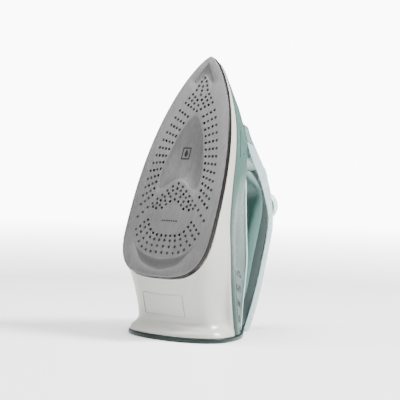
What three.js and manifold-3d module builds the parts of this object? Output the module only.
// Steam iron standing on its heel. Millimetres, +Z up, origin under the heel plate.
//
// Most pieces are drawn in the leaning frame of the iron itself: x across, y the height above the
// sole and z along the sole from its rear edge to its tip. One group tilts that frame back by LEAN.
// The heel plate and what stands on it are drawn upright, in the standing group.
import * as THREE from 'three';
import { mergeVertices } from 'three/addons/utils/BufferGeometryUtils.js';
import Module from 'manifold-3d';

const wasm = await Module();
wasm.setup();

// Driving dimensions
const GAP = 0.3;
const LEAN = THREE.MathUtils.degToRad(18.3);
const SOLE_RISE = 62;
const SOLE_LENGTH = 234;
const SOLE_HALF_WIDTH = 59;
const SOLE_WIDEST_AT = 60;
const FACE_THICKNESS = 1.2;
const RIM_HEIGHT = 4.6;
const CASTING_BASE = 1.5;
const CASTING_TOP = 9.5;
const SKIRT_BASE = 4.9;
const SKIRT_WALL = 2.2;
const SKIRT_SETBACK = 1.5;
const TANK_WALL = 2;
const TANK_REST = 5.1;
const COVER_WALL = 2.2;
const HEEL_PLATE_THICKNESS = 4.5;
const FOOT_FRONT = 1.5;
const FOOT_HALF_WIDTH = 61;
const FOOT_WIDEST_AT = 37;
const FOOT_POWER = 2.2;
const FOOT_CORNER_AT = 58.9;
const ORIGIN_BACK = 62;
const VENT_RADIUS = 1.5;

// Curves

// Smooth curve through [position, value] points, without overshoot between them.
function smooth(points) {
  const last = points.length - 1;
  const rise = (i) => (points[i + 1][1] - points[i][1]) / (points[i + 1][0] - points[i][0]);
  const slopes = points.map((point, i) => {
    if (i === 0) return rise(0);
    if (i === last) return rise(last - 1);
    const [before, after] = [rise(i - 1), rise(i)];
    return before * after <= 0 ? 0 : (2 * before * after) / (before + after);
  });
  return (position) => {
    const at = THREE.MathUtils.clamp(position, points[0][0], points[last][0]);
    let i = 0;
    while (i < last - 1 && at > points[i + 1][0]) i += 1;
    const span = points[i + 1][0] - points[i][0];
    const t = (at - points[i][0]) / span;
    const from = points[i][1] * (1 + 2 * t) * (1 - t) ** 2 + slopes[i] * span * t * (1 - t) ** 2;
    const to = points[i + 1][1] * t * t * (3 - 2 * t) - slopes[i + 1] * span * t * t * (1 - t);
    return from + to;
  };
}

// Side view of the iron: heights over the sole against the length z.
const tankSeam = smooth([[-45, 79], [-13, 60], [6, 50], [36, 37], [65, 25], [86, 20], [110, 17],
  [161, 15], [199, 11], [232, 9]]);
const creaseHeight = smooth([[-45, 92], [0, 70], [40, 53], [61, 46], [90, 42], [117, 45], [150, 45],
  [182, 40], [205, 28], [225, 15], [232, 9.4]]);
const edgeHeight = smooth([[-45, 118], [-25, 112], [2, 102], [28, 94], [48, 87], [68, 77], [90, 68],
  [112, 61], [125, 58.5], [131, 64], [137, 77], [142, 89], [150, 79], [165, 66], [176, 60.5],
  [190, 53], [205, 37], [220, 20], [232, 9.7]]);
const coverSeam = smooth([[-40, 133], [43, 131.5], [78, 130], [100, 126], [110, 120], [122, 110],
  [132, 101], [142, 89], [150, 79], [165, 66], [176, 60.5], [182, 59]]);
const topHeight = smooth([[-40, 147], [11, 148], [60, 145.5], [92, 144], [103, 140.5], [116, 134.5],
  [129, 128], [146, 114], [161, 95], [172, 80], [182, 71], [195, 56.5], [206, 41], [213, 32],
  [225, 18], [232, 10]]);

// Plan view of the iron: half widths against the length z.
const creaseHalf = smooth([[-45, 50], [0, 50], [40, 49], [80, 48], [117, 46], [150, 38], [182, 25],
  [205, 16], [225, 5.5], [232, 0.9]]);
const edgeHalf = smooth([[-45, 26], [-25, 28], [0, 30.5], [40, 34], [80, 36], [110, 35], [125, 32],
  [131, 28], [137, 22], [142, 18.5], [165, 17], [176, 15], [190, 10], [205, 7.5], [220, 4],
  [232, 0.6]]);
const coverHalf = smooth([[-30, 13], [-10, 15.5], [10, 17.5], [40, 18.5], [142, 18.5], [165, 17],
  [182, 13.5]]);
const footHalf = smooth([[37, 61], [47, 60], [57, 57.5], [70, 52.5], [85, 43], [100, 31],
  [112, 22], [120, 17]]);

function soleHalf(z) {
  if (z < SOLE_WIDEST_AT) return SOLE_HALF_WIDTH - 0.0003 * (SOLE_WIDEST_AT - z) ** 2;
  const t = Math.min(1, (z - SOLE_WIDEST_AT) / (SOLE_LENGTH - SOLE_WIDEST_AT));
  return SOLE_HALF_WIDTH * (1 - t ** 2.3) ** 0.72;
}

// Right half of the sole outline from the tip to the middle of the rear edge, as [x, z] points.
function soleOutline(inset, frontCount, rearCount) {
  const half = SOLE_HALF_WIDTH - inset;
  const tip = SOLE_LENGTH - 1.3 * inset;
  const points = [];
  for (let i = 0; i < frontCount; i += 1) {
    const t = 1 - (i / frontCount) ** 1.6;
    points.push([half * (1 - t ** 2.3) ** 0.72, SOLE_WIDEST_AT + t * (tip - SOLE_WIDEST_AT)]);
  }
  const depth = SOLE_WIDEST_AT - inset;
  for (let i = 0; i <= rearCount; i += 1) {
    const angle = (Math.PI / 2) * (1 - i / rearCount);
    const x = half * Math.sin(angle) ** (2 / 3.2);
    points.push([i === rearCount ? 0 : x, SOLE_WIDEST_AT - depth * Math.cos(angle) ** (2 / 3.2)]);
  }
  return points;
}

// Front of the foot outline in the standing frame: how far back it is at a distance x from the middle.
function footFront(x) {
  const reach = Math.min(1, x / FOOT_HALF_WIDTH);
  return FOOT_WIDEST_AT - (FOOT_WIDEST_AT - FOOT_FRONT) * (1 - reach ** FOOT_POWER) ** (1 / FOOT_POWER);
}

// A place in the standing frame, given in the leaning frame.
function leaning(x, y, z) {
  return new THREE.Vector3(x, y, z - SOLE_RISE).applyAxisAngle(new THREE.Vector3(1, 0, 0), LEAN);
}

// Solids

function ringGeometry(rings, index) {
  const geometry = new THREE.BufferGeometry();
  const numbers = rings.flat().flatMap((point) => point.toArray());
  geometry.setAttribute('position', new THREE.Float32BufferAttribute(numbers, 3));
  geometry.setIndex(index);
  return geometry;
}

// Closed solid through rings. A ring is its right half, from one middle point to the other.
function loft(halves) {
  const rings = halves.map((half) => {
    const mirrored = half.slice(1, -1).reverse().map((p) => new THREE.Vector3(-p.x, p.y, p.z));
    return [...half, ...mirrored];
  });
  const count = rings[0].length;
  const index = [];
  const quad = (a, b, c, d) => index.push(a, b, c, a, c, d);
  for (let ring = 0; ring + 1 < rings.length; ring += 1) {
    for (let i = 0; i < count; i += 1) {
      const next = (i + 1) % count;
      quad(ring * count + i, ring * count + next, (ring + 1) * count + next, (ring + 1) * count + i);
    }
  }
  const lastStart = (rings.length - 1) * count;
  for (let i = 0; i < halves[0].length - 1; i += 1) {
    const [left, leftNext] = [(count - i) % count, count - i - 1];
    quad(i, left, leftNext, i + 1);
    quad(lastStart + i, lastStart + i + 1, lastStart + leftNext, lastStart + left);
  }
  return ringGeometry(rings, index);
}

// Closed band: rings that join round to the first one again.
function closedBand(rings) {
  const count = rings[0].length;
  const index = [];
  for (let ring = 0; ring < rings.length; ring += 1) {
    const after = (ring + 1) % rings.length;
    for (let i = 0; i < count; i += 1) {
      const next = (i + 1) % count;
      const [a, b] = [ring * count + i, ring * count + next];
      const [c, d] = [after * count + next, after * count + i];
      index.push(a, b, c, a, c, d);
    }
  }
  return ringGeometry(rings, index);
}

function signedVolume(position, triangles) {
  const [a, b, c] = [new THREE.Vector3(), new THREE.Vector3(), new THREE.Vector3()];
  let total = 0;
  for (let i = 0; i < triangles.length; i += 3) {
    a.fromArray(position, triangles[i] * 3);
    b.fromArray(position, triangles[i + 1] * 3);
    c.fromArray(position, triangles[i + 2] * 3);
    total += a.dot(b.cross(c));
  }
  return total;
}

function solid(geometry) {
  const bare = geometry.clone();
  bare.deleteAttribute('normal');
  bare.deleteAttribute('uv');
  const merged = mergeVertices(bare, 1e-3);
  const vertProperties = Float32Array.from(merged.attributes.position.array);
  const source = merged.index.array;
  const kept = [];
  for (let i = 0; i < source.length; i += 3) {
    const [a, b, c] = [source[i], source[i + 1], source[i + 2]];
    if (a !== b && b !== c && a !== c) kept.push(a, b, c);
  }
  if (signedVolume(vertProperties, kept) < 0) kept.reverse();
  return new wasm.Manifold(new wasm.Mesh({ numProp: 3, vertProperties, triVerts: Uint32Array.from(kept) }));
}

function toGeometry(body) {
  const { vertProperties, triVerts } = body.getMesh();
  const geometry = new THREE.BufferGeometry();
  geometry.setAttribute('position', new THREE.BufferAttribute(vertProperties, 3));
  geometry.setIndex(new THREE.BufferAttribute(triVerts, 1));
  geometry.computeVertexNormals();
  return geometry;
}

const cut = (body, ...tools) => tools.reduce((result, tool) => result.subtract(tool), body);
const join = (body, ...others) => others.reduce((result, other) => result.add(other), body);

function box(width, height, depth, x = 0, y = 0, z = 0) {
  return new THREE.BoxGeometry(width, height, depth).translate(x, y, z);
}

function cylinder(radius, height, sides = 16) {
  return new THREE.CylinderGeometry(radius, radius, height, sides);
}

function lathe(profile, sides = 20) {
  return new THREE.LatheGeometry(profile.map(([radius, y]) => new THREE.Vector2(radius, y)), sides);
}

function tube(points, radius, steps, sides = 8) {
  const section = new THREE.Shape();
  section.absarc(0, 0, radius, 0, Math.PI * 2);
  const extrudePath = new THREE.CatmullRomCurve3(points.map((point) => new THREE.Vector3(...point)));
  return new THREE.ExtrudeGeometry(section, { steps, curveSegments: sides / 2, extrudePath });
}

// Everything below a level of the standing frame, as a solid of the leaning frame.
function belowLevel(level) {
  const size = 500;
  const block = box(size, size, size, 0, 0, level - size / 2 - SOLE_RISE);
  return solid(block.rotateX(LEAN));
}

// Frames on the handle top: y points out of the surface.
function surfaceFrame(y, z, tilt, x = 0) {
  return new THREE.Matrix4().makeRotationX(tilt).setPosition(x, y, z);
}

const DIAL_FRAME = surfaceFrame(133.5, 116, THREE.MathUtils.degToRad(26.5));
const BUTTON_TILT = THREE.MathUtils.degToRad(46);
const BUTTON_SPACING = 7.4;
const buttonFrame = (side) => surfaceFrame(110.6, 146.2, BUTTON_TILT, side * BUTTON_SPACING);
const SLIDER_FRAME = surfaceFrame(97.5, 158.5, THREE.MathUtils.degToRad(51.5));
const NOZZLE_FRAME = surfaceFrame(61.5, 190, THREE.MathUtils.degToRad(51));

// Materials
const materials = {};
function finish(name, color, roughness, metalness, opacity = 1) {
  const transparent = opacity < 1;
  materials[name] = new THREE.MeshStandardMaterial({ color, roughness, metalness, opacity, transparent });
}
finish('brushedSteel', 0x9b9b9b, 0.38, 0.9);
finish('aluminium', 0x9fa2a5, 0.5, 0.9);
finish('steel', 0xc2c4c6, 0.3, 1);
finish('whitePlastic', 0xe3e3e1, 0.35, 0);
finish('greenPlastic', 0x6f8985, 0.35, 0);
finish('darkGreenPlastic', 0x56716b, 0.4, 0);
finish('paleCover', 0xc0cccb, 0.32, 0);
finish('clearGreen', 0x9cb9b2, 0.15, 0, 0.6);
finish('knobPlastic', 0xccd2d2, 0.35, 0);
finish('blackPlastic', 0x2b2b2b, 0.5, 0);
finish('board', 0x2f6b46, 0.5, 0);
finish('rubber', 0x3a3d3d, 0.8, 0);
finish('amberLens', 0xd98a3a, 0.2, 0);

const iron = new THREE.Group();
const leaningGroup = new THREE.Group();
leaningGroup.rotation.x = -LEAN;
leaningGroup.position.set(0, -ORIGIN_BACK, SOLE_RISE);
const standingGroup = new THREE.Group();
standingGroup.position.set(0, -ORIGIN_BACK, 0);
iron.add(leaningGroup, standingGroup);

function add(name, shape, material, frame = null, group = leaningGroup) {
  const geometry = shape.isBufferGeometry ? toGeometry(solid(shape)) : toGeometry(shape);
  const mesh = new THREE.Mesh(geometry, materials[material]);
  mesh.name = name;
  if (frame) mesh.applyMatrix4(frame);
  group.add(mesh);
  return mesh;
}

const placed = (geometry, frame) => solid(geometry.applyMatrix4(frame));

// Steam vents

// Vents of the 13 side rows, counted from the front: the innermost place of each row, and the
// second place from outside in every other row.
function sideVents() {
  const vents = [];
  for (let row = 0; row < 13; row += 1) {
    const outerZ = 174.7 - 7.75 * row - 0.06 * row * row;
    const innerZ = 167.9 - 7.05 * row;
    const outerX = 45.2 - 21.6 * (Math.abs(outerZ - 75) / 99.7) ** 2.3;
    const innerX = 32 - 0.0031 * (innerZ - 85) ** 2;
    const places = row % 2 === 0 ? [1, 3] : [3];
    for (const place of places) {
      const t = place / 3;
      vents.push([outerX + (innerX - outerX) * t, outerZ + (innerZ - outerZ) * t]);
    }
  }
  return vents;
}

// Vents of the inmost arc over the heel.
function heelVents() {
  const vents = [[0, 42.2]];
  for (let i = 1; i <= 6; i += 1) {
    const reach = 1.25 * (i / 6) - 0.25 * (i / 6) ** 3.5;
    vents.push([29.5 * reach, 42.2 + 15 * reach ** 4]);
  }
  return vents;
}

function archVents() {
  const arch = (apex, x) => [x, apex + 4 - Math.hypot(0.87 * x, 4)];
  return [arch(91.2, 0), arch(91.2, 10), arch(91.2, 18.9), arch(85.7, 22.4), arch(80, 0), arch(80, 5.5),
    arch(80, 14.7), [3, 185.7], [13.9, 180.4]];
}

function ventPins() {
  const pins = [];
  for (const [x, z] of [...sideVents(), ...heelVents(), ...archVents()]) {
    const sides = x === 0 ? [0] : [-x, x];
    sides.forEach((place) => pins.push(solid(cylinder(VENT_RADIUS, 8, 6).translate(place, 1, z))));
  }
  return pins;
}

// Sole

const SOLE_FRONT_STEPS = 12;
const SOLE_REAR_STEPS = 7;

function soleRing(y, inset) {
  return soleOutline(inset, SOLE_FRONT_STEPS, SOLE_REAR_STEPS).map(([x, z]) => new THREE.Vector3(x, y, z));
}

function soleplateFace() {
  const pan = solid(loft([soleRing(0, 1), soleRing(0.5, 0.3), soleRing(1.2, 0), soleRing(RIM_HEIGHT, 0)]));
  const inside = solid(loft([soleRing(FACE_THICKNESS, 1.1), soleRing(RIM_HEIGHT + 1, 1.1)]));
  return cut(pan, inside, ...ventPins());
}

const CHAMBER_Z = [62, 142];
function chamberRing(y, inset) {
  const half = smooth([[CHAMBER_Z[0], 18], [85, 24], [115, 22], [CHAMBER_Z[1], 13]]);
  const points = [new THREE.Vector3(0, y, CHAMBER_Z[0] + inset)];
  for (let i = 0; i <= 6; i += 1) {
    const z = CHAMBER_Z[0] + inset + (i / 6) * (CHAMBER_Z[1] - CHAMBER_Z[0] - 2 * inset);
    points.push(new THREE.Vector3(half(z) - inset, y, z));
  }
  points.push(new THREE.Vector3(0, y, CHAMBER_Z[1] - inset));
  return points;
}

const ELEMENT_Y = 7;
const ELEMENT_RADIUS = 2.8;
const ELEMENT_STEPS = 48;
function elementPath() {
  const side = [[31, 27, 24], [31, 15, 25], [33, 8.2, 31], [38, ELEMENT_Y, 48], [40, ELEMENT_Y, 75],
    [37, ELEMENT_Y, 110], [29, ELEMENT_Y, 145], [15, ELEMENT_Y, 176]];
  const mirrored = [...side].reverse().map(([x, y, z]) => [-x, y, z]);
  return [...side, [0, ELEMENT_Y, 188], ...mirrored];
}

const CASTING_SCREWS = [[0, 168], [-44, 44], [44, 44]];
const CHAMBER_SCREWS = [[-22, 70], [22, 70], [-18, 128], [18, 128]];

function soleplateCasting() {
  const block = solid(loft([soleRing(CASTING_BASE, 1.6), soleRing(4.2, 1.6), soleRing(4.6, 3.8),
    soleRing(CASTING_TOP, 5.6)]));
  const channel = solid(loft([soleRing(CASTING_BASE - 1, 10), soleRing(2.9, 10)]));
  const chamber = solid(loft([chamberRing(4.6, 4), chamberRing(CASTING_TOP + 1, 4)]));
  const ports = [[-8, 72], [8, 72], [-8, 125], [8, 125]].map(
    ([x, z]) => solid(cylinder(2.2, 8, 8).translate(x, 4, z)));
  const groove = solid(tube(elementPath(), ELEMENT_RADIUS + GAP, ELEMENT_STEPS, 6));
  const holes = [...CASTING_SCREWS, ...CHAMBER_SCREWS].map(
    ([x, z]) => solid(cylinder(1.5 + GAP, 5, 10).translate(x, CASTING_TOP - 0.5, z)));
  return cut(block, channel, chamber, groove, ...ports, ...holes);
}

// Pan-head screw along y: the head's underside is at y = 0 and the shank points down.
function screw(length, shankRadius = 1.5, headRadius = 2.8) {
  const head = 1.7;
  const profile = [[0, -length], [shankRadius * 0.6, -length], [shankRadius, -length + 1],
    [shankRadius, 0], [headRadius, 0], [headRadius, head * 0.6], [headRadius * 0.7, head], [0, head]];
  const slot = solid(box(headRadius * 1.1, 1.2, 0.7, 0, head, 0));
  return cut(solid(lathe(profile, 8)), slot);
}

function chamberCover() {
  const plate = solid(loft([chamberRing(CASTING_TOP + GAP, -3.5), chamberRing(CASTING_TOP + GAP + 1, -3.5)]));
  const dome = solid(loft([chamberRing(CASTING_TOP + GAP + 0.5, 9), chamberRing(CASTING_TOP + 2, 11)]));
  const holes = CHAMBER_SCREWS.map(([x, z]) => solid(cylinder(1.9, 6, 10).translate(x, CASTING_TOP, z)));
  return cut(join(plate, dome), ...holes);
}

function buildSole() {
  add('soleplate_face', soleplateFace(), 'brushedSteel');
  add('soleplate_casting', soleplateCasting(), 'aluminium');
  add('heating_element', tube(elementPath(), ELEMENT_RADIUS, ELEMENT_STEPS, 6), 'steel');
  add('steam_chamber_cover', chamberCover(), 'steel');
  CHAMBER_SCREWS.forEach(([x, z], i) => {
    add(`chamber_screw_${i + 1}`, screw(3.4), 'steel', surfaceFrame(CASTING_TOP + 1 + 2 * GAP, z, 0, x));
  });
  CASTING_SCREWS.forEach(([x, z], i) => {
    add(`casting_screw_${i + 1}`, screw(2, 1.5, 3), 'steel', surfaceFrame(CASTING_TOP + GAP, z, 0, x));
  });
  const can = [[0, 0], [9, 0], [9, 1.2], [7, 1.8], [7, 9], [6, 10], [0, 10]];
  add('thermostat', lathe(can, 18), 'steel', surfaceFrame(CASTING_TOP + GAP, 42, 0));
  const fuse = [[0, -11], [1, -11], [1, -6], [2.6, -6], [2.6, 6], [1, 6], [1, 11], [0, 11]];
  const lying = new THREE.Matrix4().makeRotationZ(Math.PI / 2).setPosition(0, CASTING_TOP + 3, 22);
  add('thermal_fuse', lathe(fuse, 10), 'whitePlastic', lying);
}

// Skirt

const SEAM_END = -35.7;
const FRONT_STEPS = 11;
const SIDE_STEPS = 6;
const HEEL_STEPS = 8;
const FOOT_SIDE_SHARE = 0.25;
const FOOT_LIP = 1;
const SKIRT_FLOOR = HEEL_PLATE_THICKNESS + GAP;

// How far the heel wall is pulled in under the sole, at a share t of the way down to the foot.
const heelRecess = smooth([[0, 0], [0.4, 0.55], [0.78, 1], [0.86, 0.72], [0.93, 0.12], [1, 0]]);

// The skirt's upper edge: along the tank seam to the rear, then round the front of the foot.
function skirtEnd(i, inset) {
  if (i <= FRONT_STEPS) {
    const z = i === 0 ? SOLE_LENGTH - 2.5 - inset : soleOutline(inset, FRONT_STEPS, 1)[i][1];
    const x = i === 0 ? 0 : Math.max(0, soleHalf(z + 1.3 * inset) - SKIRT_SETBACK - inset);
    return new THREE.Vector3(x, tankSeam(z), z);
  }
  if (i <= FRONT_STEPS + SIDE_STEPS) {
    const t = (i - FRONT_STEPS) / SIDE_STEPS;
    const z = SOLE_WIDEST_AT + t * (SEAM_END - SOLE_WIDEST_AT);
    return new THREE.Vector3(soleHalf(z) - SKIRT_SETBACK - inset, tankSeam(z), z);
  }
  const t = (i - FRONT_STEPS - SIDE_STEPS) / HEEL_STEPS;
  if (t < FOOT_SIDE_SHARE) {
    const back = FOOT_CORNER_AT + (FOOT_WIDEST_AT - FOOT_CORNER_AT) * (t / FOOT_SIDE_SHARE);
    return leaning(footHalf(back) - FOOT_LIP - inset, back, SKIRT_FLOOR);
  }
  const angle = (Math.PI / 2) * ((t - FOOT_SIDE_SHARE) / (1 - FOOT_SIDE_SHARE));
  const x = (FOOT_HALF_WIDTH - FOOT_LIP - inset) * Math.cos(angle) ** (2 / FOOT_POWER);
  const depth = FOOT_WIDEST_AT - FOOT_FRONT - FOOT_LIP - inset;
  return leaning(x, FOOT_WIDEST_AT - depth * Math.sin(angle) ** (2 / FOOT_POWER), SKIRT_FLOOR);
}

// How far round to the middle of the heel column i is, from 0 on the sides to 1.
function heelShare(i) {
  return THREE.MathUtils.smoothstep((i - FRONT_STEPS - SIDE_STEPS / 2) / HEEL_STEPS, 0, 1);
}

// The skirt's lower edge, under the sole's rim. An inset moves the heel wall up instead of forward.
function skirtRim(i, inset) {
  const [x, z] = soleOutline(inset, FRONT_STEPS, SIDE_STEPS + HEEL_STEPS)[i];
  return new THREE.Vector3(x, SKIRT_BASE + inset * heelShare(i), z);
}

// The pull inwards of column i, full over the heel and fading along the sides.
function skirtPull(i) {
  const onSide = THREE.MathUtils.clamp((i - FRONT_STEPS) / SIDE_STEPS, 0, 1);
  const onHeel = THREE.MathUtils.clamp((i - FRONT_STEPS - SIDE_STEPS) / HEEL_STEPS, 0, 1);
  const around = THREE.MathUtils.smoothstep(onHeel, 0.15, 0.75) * (Math.PI / 2);
  const back = leaning(0, 1, SOLE_RISE);
  const pull = new THREE.Vector3(-Math.cos(around), 0, 0).addScaledVector(back, Math.sin(around));
  return pull.multiplyScalar(onSide ** 2 * (5 + 6 * onHeel));
}

// Ring of the skirt at a share t of the way from the sole rim to the upper edge.
function skirtRing(t, inset, overrun = 0) {
  const count = FRONT_STEPS + SIDE_STEPS + HEEL_STEPS;
  const ring = [];
  for (let i = 0; i <= count; i += 1) {
    const point = skirtRim(i, inset).lerp(skirtEnd(i, inset), t);
    point.addScaledVector(skirtPull(i), heelRecess(t));
    if (i === 0 || i === count) point.x = 0;
    const onHeel = i > FRONT_STEPS + SIDE_STEPS;
    const outward = onHeel ? leaning(0, 0, SOLE_RISE - 1) : new THREE.Vector3(0, 1, -0.3);
    if (t === 1) point.addScaledVector(outward, overrun);
    ring.push(point);
  }
  return ring;
}

function skirtShell() {
  const levels = [0, 0.4, 0.7, 0.78, 0.86, 0.93, 1];
  const outer = solid(loft(levels.map((t) => skirtRing(t, 0))));
  const mouth = skirtRing(0, SKIRT_WALL).map((point, i) => point.setY(SKIRT_BASE - 4).add(
    new THREE.Vector3(0, 0, 3 * heelShare(i))));
  const inner = solid(loft([mouth, ...levels.map((t) => skirtRing(t, SKIRT_WALL, 4))]));
  return cut(outer, inner, belowLevel(SKIRT_FLOOR));
}

// Tank

// Right half of the iron's body section at length z, from the middle of the floor to the middle top.
function tankSection(z, inset, floor, openTop) {
  const seamHalf = Math.max(0.3, soleHalf(z) - SKIRT_SETBACK - inset);
  const crease = Math.max(0.2, creaseHalf(z) - inset);
  const edge = Math.max(0.1, edgeHalf(z) - inset);
  const low = tankSeam(z) + floor;
  const rimY = edgeHeight(z) - GAP - Math.min(0, inset);
  const roof = z > NOSE_START ? topHeight(z) - inset : rimY + 0.2;
  const top = Math.max(low + 0.6, openTop ? rimY + 12 : roof);
  const edgeY = Math.min(top - 0.2, rimY);
  const creaseY = THREE.MathUtils.clamp(creaseHeight(z), low + 0.2, edgeY - 0.1);
  const shoulder = openTop ? [edge, top - 0.1] : [0.62 * edge, edgeY + 0.7 * (top - edgeY)];
  return [
    new THREE.Vector3(0, low, z),
    new THREE.Vector3(seamHalf, low, z),
    new THREE.Vector3(0.45 * seamHalf + 0.55 * crease + 1.2, 0.5 * (low + creaseY), z),
    new THREE.Vector3(crease, creaseY, z),
    new THREE.Vector3(edge, edgeY, z),
    new THREE.Vector3(...shoulder, z),
    new THREE.Vector3(0, top, z),
  ];
}

const NOSE_START = 182;
const TANK_STATIONS = [-62, -45, -25, 0, 22, 42, 60, 78, 95, 112, 125, 131, 137, 142, 150, 158, 166,
  174, NOSE_START, NOSE_START + 0.3, 190, 198, 206, 214, 222, 228, 231];

const VALVE_Z = 153;

// Open-topped tank shell, with every face moved out by grow.
function tankShell(grow) {
  const wall = TANK_WALL + grow;
  const floor = 2 * GAP - grow;
  const outer = solid(loft(TANK_STATIONS.map((z) => tankSection(z, -grow, floor, false))));
  const inside = [...TANK_STATIONS.filter((z) => z < NOSE_START), NOSE_START - wall];
  const inner = solid(loft(inside.map((z) => tankSection(z, wall, floor + wall, true))));
  const noseStations = [170, NOSE_START - 1, NOSE_START + 2 * TANK_WALL, 190, 198, 206, 211];
  const nose = solid(loft(noseStations.map((z) => tankSection(z, wall, floor + wall, false))));
  return cut(outer, cut(join(inner, nose), belowLevel(TANK_REST + wall)));
}

function waterTank() {
  const seat = placed(cylinder(5 + GAP, 20, 16), surfaceFrame(tankSeam(VALVE_Z), VALVE_Z, 0));
  const nozzle = placed(cylinder(3.2 + GAP, 14, 14), NOZZLE_FRAME);
  return cut(tankShell(0), seat, nozzle, pinClearance(), hingeRelief(), belowLevel(TANK_REST));
}

function buildTank() {
  add('water_tank', waterTank(), 'clearGreen');
  const seat = [[2, -3], [4, -3], [5, 0], [5, 3.4], [6.4, 3.4], [6.4, 4.6],
    [3.4, 4.6], [2, 1.5], [2, -3]];
  add('valve_seat', lathe(seat, 16), 'rubber', surfaceFrame(tankSeam(VALVE_Z), VALVE_Z, 0));
  const needle = [[0, 0], [0.5, 0.3], [1.4, 4], [1.4, 74], [2.6, 74.5], [2.6, 77], [0, 77]];
  add('valve_needle', lathe(needle, 10), 'steel', surfaceFrame(tankSeam(VALVE_Z) - 1, VALVE_Z, 0));
  const shieldAt = (z) => {
    const half = soleHalf(z) - 6.5;
    const top = tankSeam(z) - 1.6;
    const corners = [[0, top - 1.6], [half, top - 1.6], [half, top], [0, top]];
    return corners.map(([x, y]) => new THREE.Vector3(x, y, z));
  };
  const shield = solid(loft([-12, 6, 30, 48, 66, 86, 110, 130, 146].map(shieldAt)));
  const leads = [-31, 31].map((x) => solid(box(14, 60, 16, x, 30, 24)));
  add('heat_shield', cut(shield, ...leads), 'blackPlastic');
}

// Handle

// Stations of the ring round the finger gap: inner point [z, y], outer point [z, y], and the half
// widths at the inner and the outer point.
const HANDLE_RING = [
  [[118, 61.5], [117, 57], 31, 31],
  [[95, 67.5], [94, 63], 33, 33],
  [[70, 77.5], [68, 73], 33, 33],
  [[45, 88.5], [43, 84], 31.5, 31.5],
  [[24, 98], [21, 93.5], 29, 29],
  [[10, 105], [2, 98], 27, 27],
  [[5, 110], [-30, 114], 19, 22],
  [[10, 113], [-12, 132.6], 16, 15],
  [[24, 110.5], [20, 132.2], 15, 17.6],
  [[50, 107.5], [50, 131], 15, 18.2],
  [[80, 106.5], [79, 129.5], 15, 18.2],
  [[104, 106.5], [103, 123.9], 15, 18.2],
  [[119, 104.5], [120, 111], 16, 18.2],
  [[126, 97], [133, 99.2], 18, 18.2],
  [[129, 85], [141, 89.4], 19, 17.2],
  [[130, 74], [147, 76], 22, 14.5],
  [[127, 64.5], [142, 60], 26, 20],
];

function handleRing() {
  const curve = (pick) => new THREE.CatmullRomCurve3(HANDLE_RING.map(pick), true, 'centripetal');
  const innerCurve = curve(([inner, , half]) => new THREE.Vector3(half, inner[1], inner[0]));
  const outerCurve = curve(([, outer, , half]) => new THREE.Vector3(half, outer[1], outer[0]));
  const rings = [];
  const steps = HANDLE_RING.length * 3;
  for (let i = 0; i < steps; i += 1) {
    const inner = innerCurve.getPoint(i / steps);
    const outer = outerCurve.getPoint(i / steps);
    const shoulder = inner.clone().lerp(outer, 0.35);
    shoulder.x = Math.max(inner.x, outer.x);
    const section = [inner.clone().setX(inner.x - 2), shoulder, outer];
    const mirrored = [...section].reverse().map((p) => new THREE.Vector3(-p.x, p.y, p.z));
    rings.push([...section, ...mirrored]);
  }
  return solid(closedBand(rings));
}

function handleLower() {
  const grip = solid(box(25, 24, 100, 0, 126, 68));
  const neck = solid(box(25, 26, 19, 0, 97, 141));
  const column = solid(box(22, 30, 9, 0, 82, 139.5));
  const pumpHole = () => cylinder(5.2 + GAP, 26, 16).translate(0, -8, 0);
  const pumps = [-1, 1].map((side) => placed(pumpHole(), buttonFrame(side)));
  const hose = solid(tube(SPRAY_HOSE, 1.8 + GAP, 24, 8));
  const hollows = [grip, neck, column, ...pumps, hose];
  return cut(handleRing(), ...hollows, aboveCoverSeam(), tankShell(GAP), belowLevel(TANK_REST));
}

// Everything above the seam between the handle's two halves.
function aboveCoverSeam() {
  const sectionAt = (z) => {
    const low = coverSeam(z) - GAP / 2;
    const corners = [[0, low], [40, low], [40, low + 60], [0, low + 60]];
    return corners.map(([x, y]) => new THREE.Vector3(x, y, z));
  };
  return solid(loft([-50, 20, 43, 60, 78, 90, 100, 110, 122, 132, 142, 152].map(sectionAt)));
}

// Right half of the section of the handle's upper cover at length z.
function coverSection(z, inset, drop) {
  const half = coverHalf(z) - inset;
  const low = coverSeam(z) + GAP / 2;
  const rise = topHeight(z) - inset - low;
  const section = [new THREE.Vector3(0, low - drop, z), new THREE.Vector3(half, low - drop, z)];
  for (let i = 1; i <= 6; i += 1) {
    const angle = (i / 6) * (Math.PI / 2);
    const x = i === 6 ? 0 : half * Math.cos(angle) ** 0.62;
    section.push(new THREE.Vector3(x, low + rise * Math.sin(angle) ** 0.62, z));
  }
  return section;
}

const COVER_END = 165;
const COVER_LIFT = 1.4;
const COVER_STATIONS = [-42, -20, 0, 20, 45, 70, 88, 98, 108, 118, 129, 138, 147, 156, COVER_END];
const CORD_Z = 2;
const LENS_Z = 76;
const LENS_Y = 144.4;

function handleCover() {
  const outer = solid(loft(COVER_STATIONS.map((z) => coverSection(z, 0, 0))));
  const inner = solid(loft([...COVER_STATIONS, COVER_END + 2].map((z) => coverSection(z, COVER_WALL, 8))));
  const tools = [
    belowLevel(COVER_LIFT),
    placed(cylinder(15.6 + GAP, 30, 24).translate(0, 9.2, 0), DIAL_FRAME),
    placed(cylinder(5, 30, 16), DIAL_FRAME),
    placed(box(20.6, 12, 3.6), SLIDER_FRAME),
    placed(cylinder(11 + GAP, 30, 20), surfaceFrame(151, CORD_Z, 0)),
    placed(box(5 + 2 * GAP, 12, 11 + 2 * GAP), surfaceFrame(LENS_Y, LENS_Z, 0)),
    ...[-1, 1].map((side) => placed(box(12.4, 14, 13.4), buttonFrame(side))),
  ];
  return cut(outer, cut(inner, belowLevel(COVER_LIFT + COVER_WALL)), ...tools);
}

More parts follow.
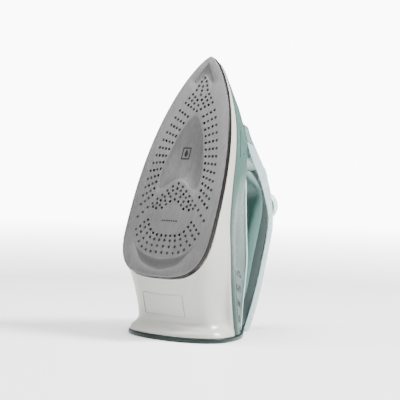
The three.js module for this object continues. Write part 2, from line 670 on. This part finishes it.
function controlBoard() {
  const board = solid(box(22, 1.6, 72, 0, 0, 0));
  const parts = [box(9, 3, 12, -3, 2, -18), box(6, 2.4, 6, 5, 1.8, 2), box(4, 3.4, 8, -6, 2.2, 14)];
  const holes = BOARD_SCREWS.map((z) => solid(cylinder(1.2 + GAP, 6, 10).translate(0, 0, z)));
  return cut(join(board, ...parts.map(solid)), ...holes);
}

const BOARD_SCREWS = [-31, 30];
const BOARD_Z = 52;
const BOARD_FRAME = surfaceFrame(134.5, BOARD_Z, 0);

function buildDial() {
  const knob = [[0, 1.5], [9, 1.5], [9, 0.9], [14.6, 0.9], [15, 1.6], [15, 6.2], [13.4, 7.4], [13.1, 10],
    [12, 11], [0, 11.3]];
  const socket = solid(cylinder(2.6 + GAP, 12, 12));
  add('temperature_dial', cut(solid(lathe(knob, 24)), socket), 'knobPlastic', DIAL_FRAME);
  const shaft = [[0, -7], [2.6, -7], [2.6, 5.6], [0, 5.6]];
  add('dial_shaft', lathe(shaft, 12), 'steel', DIAL_FRAME);
  const collar = [[3.2, -5.4], [15.5, -5.4], [15.5, 0.4], [14, 0.6], [10.5, 0.6], [10.5, -3.6], [3.2, -3.6],
    [3.2, -5.4]];
  add('dial_collar', lathe(collar, 22), 'darkGreenPlastic', DIAL_FRAME);
  const selector = [[0, -14.5], [8, -14.5], [8, -8.6], [5, -7.6], [0, -7.6]];
  add('rotary_selector', lathe(selector, 16), 'blackPlastic', DIAL_FRAME);
}

function coil(radius, wire, from, to, turns) {
  const points = [];
  const count = turns * 8;
  for (let i = 0; i <= count; i += 1) {
    const angle = (i / 8) * Math.PI * 2;
    points.push([radius * Math.cos(angle), from + (to - from) * (i / count), radius * Math.sin(angle)]);
  }
  return tube(points, wire, count, 4);
}

function buildPump(buttonName, pumpName, springName, side) {
  const cap = solid(box(11.6, 4, 12.6, 0, -0.7, 0));
  const thumb = solid(new THREE.SphereGeometry(16, 20, 14).translate(0, 16.2, 0));
  const stem = solid(cylinder(2.2, 9, 10).translate(0, -5, 0));
  add(buttonName, join(cut(cap, thumb), stem), 'knobPlastic', buttonFrame(side));
  const body = [[0, -17.5], [2, -17.5], [5.2, -15.5], [5.2, -6], [4.6, -6], [4.6, -13.6], [0, -13.6]];
  add(pumpName, lathe(body, 16), 'whitePlastic', buttonFrame(side));
  add(springName, coil(3.3, 0.45, -3.4, -9.6, 3), 'steel', buttonFrame(side));
}

const SPRAY_HOSE = [[2.4, 55.4, 184], [6, 53, 179], [12, 54, 171], [13.6, 60, 160], [13.6, 70, 151],
  [12, 84, 143.4], [8, 93.5, 137.6]];

const DOOR_END = 181.4;
function fillDoor() {
  const leaf = (stations, inset, drop) => solid(loft(stations.map((z) => coverSection(z, inset, drop))));
  const outer = leaf([COVER_END + 2 * GAP, 170, 176, DOOR_END], 0, -GAP);
  const inner = leaf([COVER_END - 2, 170, 176, DOOR_END - TANK_WALL], TANK_WALL, 6);
  const underFront = solid(box(22, 8, 6, 0, 61, 180));
  return cut(outer, inner, underFront, pinClearance());
}

function buildFill() {
  const plateAt = (z) => {
    const half = coverHalf(z) - COVER_WALL - 2.6;
    const low = edgeHeight(z) + 1.4;
    const corners = [[0, low], [half, low], [half, low + 1.8], [0, low + 1.8]];
    return corners.map(([x, y]) => new THREE.Vector3(x, y, z));
  };
  const plate = solid(loft([160, 165, 170, 178].map(plateAt)));
  const riser = solid(box(22, 16, 1.6, 0, edgeHeight(160) + 9, 160.8));
  const frame = surfaceFrame(60, 169.5, 0);
  const neck = placed(cylinder(7, 18, 18), frame);
  const bore = placed(cylinder(5.6, 60, 18), frame);
  add('fill_funnel', cut(join(plate, neck, riser), bore), 'whitePlastic');
  add('fill_door', fillDoor(), 'whitePlastic');
}

function buildHandle() {
  add('handle_lower', handleLower(), 'darkGreenPlastic');
  add('handle_cover', handleCover(), 'paleCover');
  buildDial();
  add('control_board', controlBoard(), 'board', BOARD_FRAME);
  BOARD_SCREWS.forEach((z, i) => {
    add(`board_screw_${i + 1}`, screw(3, 1.2, 2.2), 'steel', surfaceFrame(135.6, BOARD_Z + z, 0));
  });
  buildPump('spray_button', 'spray_pump', 'spray_spring', 1);
  buildPump('steam_burst_button', 'steam_pump', 'steam_spring', -1);
  add('spray_hose', tube(SPRAY_HOSE, 1.8, 24, 8), 'rubber');
  const nozzle = [[0.6, -5], [2, -5], [3.2, -3.6], [3.2, 0.4], [2.4, 1.2], [0.9, 1.2], [0.6, 0.4], [0.6, -5]];
  add('spray_nozzle', lathe(nozzle, 14), 'darkGreenPlastic', NOZZLE_FRAME);
  const thumbPiece = join(solid(box(8, 1.8, 5, 0, 1.8, 0)), solid(box(5, 7.6, 2.8, 0, -1.6, 0)));
  add('steam_slider', thumbPiece, 'knobPlastic', SLIDER_FRAME);
  add('indicator_lens', box(5, 4, 11), 'amberLens', surfaceFrame(LENS_Y - 0.6, LENS_Z, 0));
  const lamp = [[0, 0], [1.8, 0], [1.8, 2.4], [1.2, 3.6], [0, 4]];
  add('indicator_lamp', lathe(lamp, 12), 'amberLens', surfaceFrame(135.7, LENS_Z - 1, 0));
  buildFill();
}

function buildCordInlet() {
  const frame = surfaceFrame(141, CORD_Z, 0);
  const socket = [[4, -7.6], [11, -7.6], [11, 6.2], [9.7, 6.6], [9.4, 4], [8.2, 0], [7.9, -2], [4, -6.8],
    [4, -7.6]];
  add('cord_socket', lathe(socket, 18), 'greenPlastic', frame);
  const swivel = [[3.2, -4.4], [5.2, -4.6], [7, -2.5], [7.5, 0], [7, 2.5], [5, 5], [4.6, 10.4], [3.2, 10.4],
    [3.2, -4.4]];
  add('cord_swivel', lathe(swivel, 16), 'blackPlastic', frame);
}

// Heel, in the standing frame

const HEEL_SCREWS = [[-34, 34], [34, 34], [0, 47]];

function footOutline() {
  const right = [];
  for (let i = 0; i <= 12; i += 1) {
    const x = FOOT_HALF_WIDTH * Math.sin((i / 12) * (Math.PI / 2));
    right.push([x, footFront(x)]);
  }
  for (const back of [42, 47, 52, 57, 64, 72, 80, 88, 96, 104, 111]) right.push([footHalf(back), back]);
  right.push([16, 116], [0, 117.5]);
  return right;
}

function footRing(height, inset) {
  return footOutline().map(([x, back]) => {
    const shrink = x / FOOT_HALF_WIDTH;
    const forward = back < FOOT_WIDEST_AT ? inset * (1 - shrink) : 0;
    return new THREE.Vector3(Math.max(0, x - inset * Math.min(1, 1.6 * shrink)), back + forward, height);
  });
}

function upright(x, back, height) {
  return new THREE.Matrix4().makeRotationX(Math.PI / 2).setPosition(x, back, height);
}

function heelPlate() {
  const top = HEEL_PLATE_THICKNESS;
  const plate = solid(loft([footRing(0, 1), footRing(1, 0), footRing(top - 0.6, 0), footRing(top, 0.6)]));
  const heads = HEEL_SCREWS.map(([x, back]) => placed(cylinder(3.8, 7.2, 14), upright(x, back, 0)));
  const shanks = HEEL_SCREWS.map(([x, back]) => placed(cylinder(1.9, 20, 12), upright(x, back, 4)));
  return cut(plate, ...heads, ...shanks);
}

function heelBracket() {
  const base = solid(box(84, 28, 2.4, 0, 38, HEEL_PLATE_THICKNESS + GAP + 1.2));
  const bosses = HEEL_SCREWS.map(([x, back]) => placed(cylinder(4, 12, 14), upright(x, back, 10.8)));
  const holes = HEEL_SCREWS.map(([x, back]) => placed(cylinder(1.9, 22, 12), upright(x, back, 7)));
  return cut(join(base, ...bosses), ...holes);
}

function buildHeel() {
  add('heel_plate', heelPlate(), 'greenPlastic', null, standingGroup);
  add('heel_bracket', heelBracket(), 'whitePlastic', null, standingGroup);
  HEEL_SCREWS.forEach(([x, back], i) => {
    const frame = new THREE.Matrix4().makeRotationX(-Math.PI / 2).setPosition(x, back, 3.2);
    add(`heel_screw_${i + 1}`, screw(11, 1.5, 3.3), 'steel', frame, standingGroup);
  });
  const block = join(solid(box(26, 11, 9, 0, 33, 12.2)), solid(box(22, 3, 3, 0, 33, 17)));
  const ports = [-8, 0, 8].map((x) => solid(box(4.6, 5, 5, x, 28, 13)));
  add('terminal_block', cut(block, ...ports), 'blackPlastic', null, standingGroup);
}

// Hinge pin of the fill door, in the surface where the door meets the nose of the tank
const DOOR_PIN = { y: 68.8, z: 181.9, radius: 0.9, length: 13, reliefRadius: 2.6, reliefLength: 10.8 };
const doorPin = (radius, length) => cylinder(radius, length, 10).rotateZ(Math.PI / 2)
  .translate(0, DOOR_PIN.y, DOOR_PIN.z);
const pinClearance = () => solid(doorPin(DOOR_PIN.radius + GAP, DOOR_PIN.length + 2 * GAP));
const hingeRelief = () => solid(doorPin(DOOR_PIN.reliefRadius, DOOR_PIN.reliefLength));

buildSole();
add('skirt', skirtShell(), 'whitePlastic');
buildTank();
add('fill_door_pin', doorPin(DOOR_PIN.radius, DOOR_PIN.length), 'steel');
buildHandle();
buildCordInlet();
buildHeel();

export default iron;
